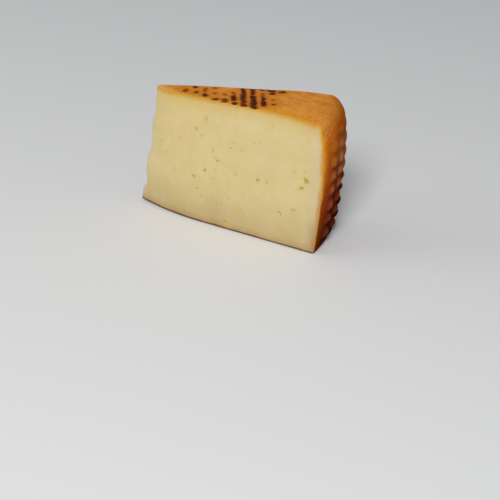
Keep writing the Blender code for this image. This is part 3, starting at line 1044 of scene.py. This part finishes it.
def makeRind():
    look = rindLook
    material, tree, shader = newMaterial("smokedRind")
    position = tree.node("ShaderNodeTexCoord", {}, (), "Object")
    x, y, z, radius = wheelPlace(tree, wedge, position)
    arc = mathOf("ARCTAN2", math.atan2, y, x) * wedge["wheel radius"]
    cloud = tree.noise(position, 75.0, 3.0, 0.6) - 0.5
    grain = tree.noise(position, 500.0, 3.0, 0.65) - 0.5
    ragged = tree.noise(position, 900.0, 3.0, 0.65) - 0.5
    blotch = tree.noise(position, 330.0, 2.0, 0.5) - 0.5
    stretched = tree.vectorMath("MULTIPLY", position, (0.25, 1.0, 1.0))
    streaks = tree.noise(stretched, 420.0, 2.0, 0.5) - 0.5

    # The top, yellower along the front cut and palest at the tip
    tip = fade(x, 0.028, 0.012)
    inward = y - cutBend(wedge, x, z) + cloud * 0.004 + grain * 0.001
    fromScorch = (1.0 - attribute(tree, "scorch")) * relief["scorch reach"]
    top = tree.layered(
        look["top"],
        (within(0.5 + cloud * 2.4 + streaks * 0.5 + blotch), look["top pale"]),
        (fade(fromScorch + cloud * 0.003, 0.0058, 0.0012) * 0.7, look["near scorch"]),
        (fade(inward, 0.0120, 0.0015) * fade(x, 0.060, 0.072) * 0.6, look["front glow"]),
        (
            fade(inward, between(0.0030, 0.0050, tip), 0.0002) * 0.8,
            tree.mixColour(tip, look["front edge"], look["tip edge"]),
        ),
    )

    # The side, with painted shade further round, painted highlights on the knobs, and grooves darkened partly
    # by smoke and partly by painted shade
    # Darker towards the bottom of the side: partly the rind's colour, partly painted shade
    level = (z + cloud * 0.012) / wedge["wheel height"]
    sideFront = rampOf(tree, look["side front"], level)
    sideRound = rampOf(tree, look["side round"], level)
    cutEdge = rampOf(tree, look["cut edge"], z / wedge["wheel height"])
    # Painted shade further round the side, away from the light
    farSideShade = tree.layered(
        (1.0, 1.0, 1.0, 1.0),
        (fade(arc + cloud * 0.006, 0.010, 0.022), look["far side shade"]),
        (fade(arc + cloud * 0.008, 0.021, 0.031) * fade(z, 0.052, 0.042), look["farthest side shade"]),
    )
    side = tree.mixColour(fade(arc + cloud * 0.006, 0.0015, 0.0078), sideFront, sideRound)
    side = tree.tinted(side, farSideShade)
    netted = netStrength(net, arc, z)
    backward = fade(arc + cloud * 0.01, 0.004, 0.022)
    pattern = attribute(tree, "netGroove") / atLeast(netted, 0.04) + grain * 0.5 + blotch * 0.5
    highFade = fade(z + backward * 0.004, 0.049, 0.038)
    # Painted highlight on the knobs' tops, with a painted tan sheen on their crests further round
    knob = fade(pattern, 0.32, 0.0) * fade(arc, 0.003, 0.010) * highFade
    crestSheen = between(0.35, 0.75, fade(arc, 0.012, 0.020)) * fade(z, 0.004, 0.026)
    # Painted sheen high on the side, away from the front cut
    highSheen = fade(arc + cloud * 0.004, 0.014, 0.020) * fade(z, 0.018, 0.034) * fade(z, 0.050, 0.041)
    # Grooves darkened: partly the smoke's colour, partly painted shade
    grooveSmokeAndShade = fade(pattern, 0.40, 0.95) * netted * between(0.4, 1.0, highFade) * fade(arc, 0.002, 0.010)
    frontBand = between(0.0022, 0.0048, fade(z, 0.020, 0.045))
    side = tree.layered(
        side,
        (knob, tree.tinted(side, look["knob"])),
        (knob * crestSheen * within(0.6 + blotch * 2.0 + cloud), look["knob crest highlight"]),
        (highSheen * within(0.75 + blotch * 1.6) * 0.75, look["highSheen"]),
    )
    side = tree.layered(
        side,
        (grooveSmokeAndShade, tree.tinted(side, look["groove"])),
        (fade(arc + cloud * 0.002, frontBand, 0.0003) * 0.85, cutEdge),
    )

    # Both together, with the dark base and the scorches
    sideShare = fade(z + cloud * 0.006 - backward * 0.0015, 0.0600, 0.0520)
    sideShare = sideShare * fade(radius + backward * 0.001, 0.080, 0.088)
    ring = fromScorch + ragged * 0.0012 + blotch * 0.0011
    core = tree.mixColour(within(0.4 + cloud * 2.0 + ragged * 1.5), look["scorch"], look["scorch red"])
    colour = tree.layered(
        top,
        (sideShare, side),
        (fade(z, 0.0018, 0.0006), look["base"]),
        (fade(ring, 0.0013, 0.0005) * 0.85, look["scorch rim"]),
        (fade(ring, 0.0006, 0.0001) * 0.95, core),
    )
    mottleShare = within(0.5 + (grain + ragged * 0.5) * between(0.9, 2.2, sideShare))
    colour = tree.tinted(colour, tree.mixColour(mottleShare, look["mottle deep"], look["mottle pale"]))

    # Fine blisters on the front corner, with painted highlights on their crests
    blistered = fade(radius, 0.083, 0.088) * fade(z, 0.049, 0.054) * fade(y, 0.018, 0.006)
    sockets = {"Vector": position, "Scale": 800.0}
    blister = tree.node("ShaderNodeTexVoronoi", {"feature": "SMOOTH_F1"}, sockets, "Distance")
    crest = fade(blister + ragged * 0.5, 0.45, 0.15) * blistered
    wrinkles = tree.noise(position, 700.0, 4.0, 0.6)
    height = wrinkles * between(0.5, 0.9, sideShare) + streaks * 0.12 - blister * blistered * 1.2
    tree.fill(shader, {
        # Painted highlight on the blisters' crests
        "Base Color": tree.mixColour(crest * 0.75, colour, look["blister"]),
        "Normal": bumped(tree, look, height),
        "Roughness": look["roughness"] + grain * 0.25 + cloud * 0.15,
        "IOR": look["refraction"],
        "Specular IOR Level": look["gloss"],
        "Coat Weight": crest * look["blister wax"],
        "Coat Roughness": look["wax roughness"],
    })
    return material


crispAngle = math.radians(38.0)  # edges sharper than this stay crisp


def finishWedge(piece):
    piece.data.set_sharp_from_angle(angle=crispAngle)
    piece.data.calc_loop_triangles()
    print("wedge finished:", len(piece.data.loop_triangles), "triangles")


paste = makePaste()
rind = makeRind()
print("materials made")
cheese = makeWedge(paste, rind)
fitToPart(cheese)
finishWedge(cheese)
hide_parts("cheese_wedge")
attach(cheese, "root")


# Studio: a pale floor, soft lights and the camera

studio = {
    "floor size": 12.0,
    "floor": (0.80, 0.80, 0.79, 1.0),
    "floor roughness": 0.9,
    "world": (0.93, 0.95, 1.0, 1.0),
    "world strength": 0.30,
    "key place": (0.32, -1.0, 0.92),
    "key size": 0.45,
    "key power": 12.5,
    "fill place": (-1.0, -0.6, 0.5),
    "fill size": 0.8,
    "fill power": 2.8,
    "lights aim at": (0.0, 0.0, 0.03),
}


def makeFloor():
    half = studio["floor size"] / 2.0
    mesh = bpy.data.meshes.new("studioFloor")
    corners = [(-half, -half, 0), (half, -half, 0), (half, half, 0), (-half, half, 0)]
    mesh.from_pydata(corners, [], [(0, 1, 2, 3)])
    material, tree, shader = newMaterial("paleFloor")
    tree.fill(shader, {"Base Color": studio["floor"], "Roughness": studio["floor roughness"]})
    mesh.materials.append(material)
    floor = addObject("studioFloor", mesh)


def makeLight(name):
    light = bpy.data.lights.new(name + "Light", "AREA")
    light.size = studio[name + " size"]
    light.energy = studio[name + " power"]
    lamp = addObject(name + "Light", light)
    lamp.location = studio[name + " place"]
    heading = Vector(studio["lights aim at"]) - lamp.location
    lamp.rotation_euler = heading.to_track_quat("-Z", "Y").to_euler()


def makeWorld():
    world = bpy.data.worlds.new("softRoom")
    world.use_nodes = True
    background = world.node_tree.nodes["Background"]
    background.inputs["Color"].default_value = studio["world"]
    background.inputs["Strength"].default_value = studio["world strength"]
    bpy.context.scene.world = world


camera = {
    "lens": 100.8,
    "sensor": 36.0,
    "nearest": 0.01,
    "place": (0.32642, -0.48031, 0.27873),  # from the wheel's axis
    "right": (0.8670502, 0.49725775, 0.03096259),
    "up": (-0.25348026, 0.38677539, 0.88665244),
    "back": (0.42891923, -0.77662059, 0.4613987),
}


def makeCamera():
    data = bpy.data.cameras.new("photoCamera")
    data.lens = camera["lens"]
    data.sensor_width = camera["sensor"]
    data.clip_start = camera["nearest"]
    eye = addObject("photoCamera", data)
    turned = Matrix((camera["right"], camera["up"], camera["back"])).transposed()
    eye.rotation_mode = "QUATERNION"
    eye.rotation_quaternion = turned.to_quaternion()
    middle = Vector((wedge["axis to middle x"], wedge["axis to middle y"], 0.0))
    eye.location = Vector(camera["place"]) - middle
    bpy.context.scene.camera = eye


makeFloor()
for lightName in ("key", "fill"):
    makeLight(lightName)
makeWorld()
makeCamera()
bpy.context.scene.view_settings.view_transform = "Standard"
print("studio set")
